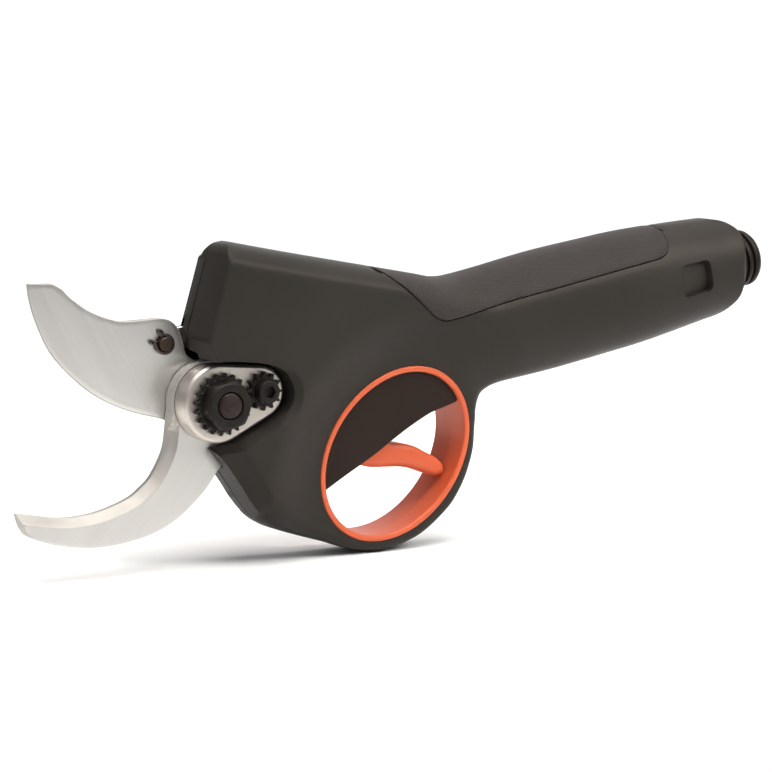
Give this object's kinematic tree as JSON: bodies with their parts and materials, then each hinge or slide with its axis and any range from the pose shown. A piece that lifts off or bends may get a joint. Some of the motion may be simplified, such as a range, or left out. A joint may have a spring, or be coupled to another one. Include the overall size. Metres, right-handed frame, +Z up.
{
  "type": "battery electric pruner",
  "caption": "Hand-held electric bypass pruner: hooked counter-blade, driven cutting blade, finger ring with trigger, straight handle with rubber grip and a rear cable inlet.",
  "frame": {"origin": "middle of the tool's bounding box in plan, at its lowest point", "axes": "+X from the blades to the cable inlet, +Y across the thickness to the tool's right side, +Z up, with the handle on top and the finger ring below"},
  "size_m": [0.3188, 0.042, 0.1183],
  "materials": {
    "casing": "satin warm dark grey moulded polymer with a fine spark texture",
    "rubber": "brown-black rubber with a fine raised grain",
    "orange": "orange moulded polymer, soft gloss",
    "panel": "dark brown-grey satin polymer",
    "blade": "ground blade steel with fine linear grinding marks",
    "satin": "satin warm steel",
    "blackened": "black oxide steel, slightly oily sheen",
    "steel": "turned steel",
    "board": "green circuit board",
    "connector": "black glass-filled polymer"
  },
  "bodies": {
    "casing": {"housing_left": "casing", "housing_right": "casing", "grip_pad": "rubber", "inlet_seal": "rubber", "finger_ring_left": "orange", "finger_ring_right": "orange", "trigger_cover_left": "panel", "trigger_cover_right": "panel", "counter_blade": "blade", "pivot_plate": "satin", "pivot_bolt": "blackened", "pinion_screw": "blackened", "housing_screw_1": "blackened", "housing_screw_2": "blackened", "housing_screw_3": "blackened", "housing_screw_4": "blackened", "housing_screw_5": "blackened", "housing_screw_6": "blackened", "housing_screw_7": "blackened", "pivot_spacer": "steel", "blade_bush": "steel", "tang_screw_1": "steel", "tang_screw_2": "steel", "nut_bearing": "steel", "gearbox": "steel", "motor": "steel", "trigger_pin": "steel", "trigger_spring": "steel", "control_board": "board", "trigger_sensor_board": "board", "cable_inlet": "connector", "inlet_core": "connector"},
    "blade": {"cutting_blade": "blade", "link_pin": "blackened", "link_pin_circlip": "blackened"},
    "link": {"drive_link": "steel"},
    "rod": {"push_rod": "steel", "rod_pin": "steel"},
    "screw_nut": {"drive_nut": "steel"},
    "trigger": {"trigger": "orange", "trigger_magnet": "steel"},
    "clamp_nut": {"pivot_nut": "blackened"},
    "pinion": {"adjuster_pinion": "blackened"}
  },
  "joints": [
    {"name": "blade_close", "type": "hinge", "parent": "casing", "child": "blade", "pos_m": [-0.08604, 0.0015, 0.05951], "axis": [0, -1, 0], "range_deg": [0, 58]},
    {"name": "link_turn", "type": "hinge", "parent": "blade", "child": "link", "pos_m": [-0.10134, 0.0015, 0.08041], "axis": [0, -1, 0], "range_deg": [-31, 0]},
    {"name": "rod_slide", "type": "slide", "parent": "casing", "child": "rod", "axis": [-1, 0, 0], "range_m": [0, 0.0205]},
    {"name": "drive_nut_spin", "type": "hinge", "parent": "casing", "child": "screw_nut", "pos_m": [-0.00984, 0.0015, 0.08601], "axis": [-1, 0, 0], "range_deg": [0, 1460]},
    {"name": "trigger_pull", "type": "hinge", "parent": "casing", "child": "trigger", "pos_m": [-0.02484, 0.0015, 0.03901], "axis": [0, -1, 0], "range_deg": [0, 9], "stiffness_Nm_per_rad": 0.6, "springref_deg": -6.88},
    {"name": "nut_adjust", "type": "hinge", "parent": "casing", "child": "clamp_nut", "pos_m": [-0.08604, 0.0015, 0.05951], "axis": [0, 1, 0], "range_deg": [-18, 18]},
    {"name": "pinion_turn", "type": "hinge", "parent": "casing", "child": "pinion", "pos_m": [-0.06984, 0.0015, 0.06331], "axis": [0, 1, 0], "range_deg": [-31, 31]}
  ],
  "couplings": [
    {"joint": "link_turn", "follows": "blade_close", "ratio": -0.509},
    {"joint": "rod_slide", "follows": "blade_close", "m_per_rad": 0.0197},
    {"joint": "drive_nut_spin", "follows": "blade_close", "ratio": 24.75},
    {"joint": "pinion_turn", "follows": "nut_adjust", "ratio": -1.6667}
  ]
}
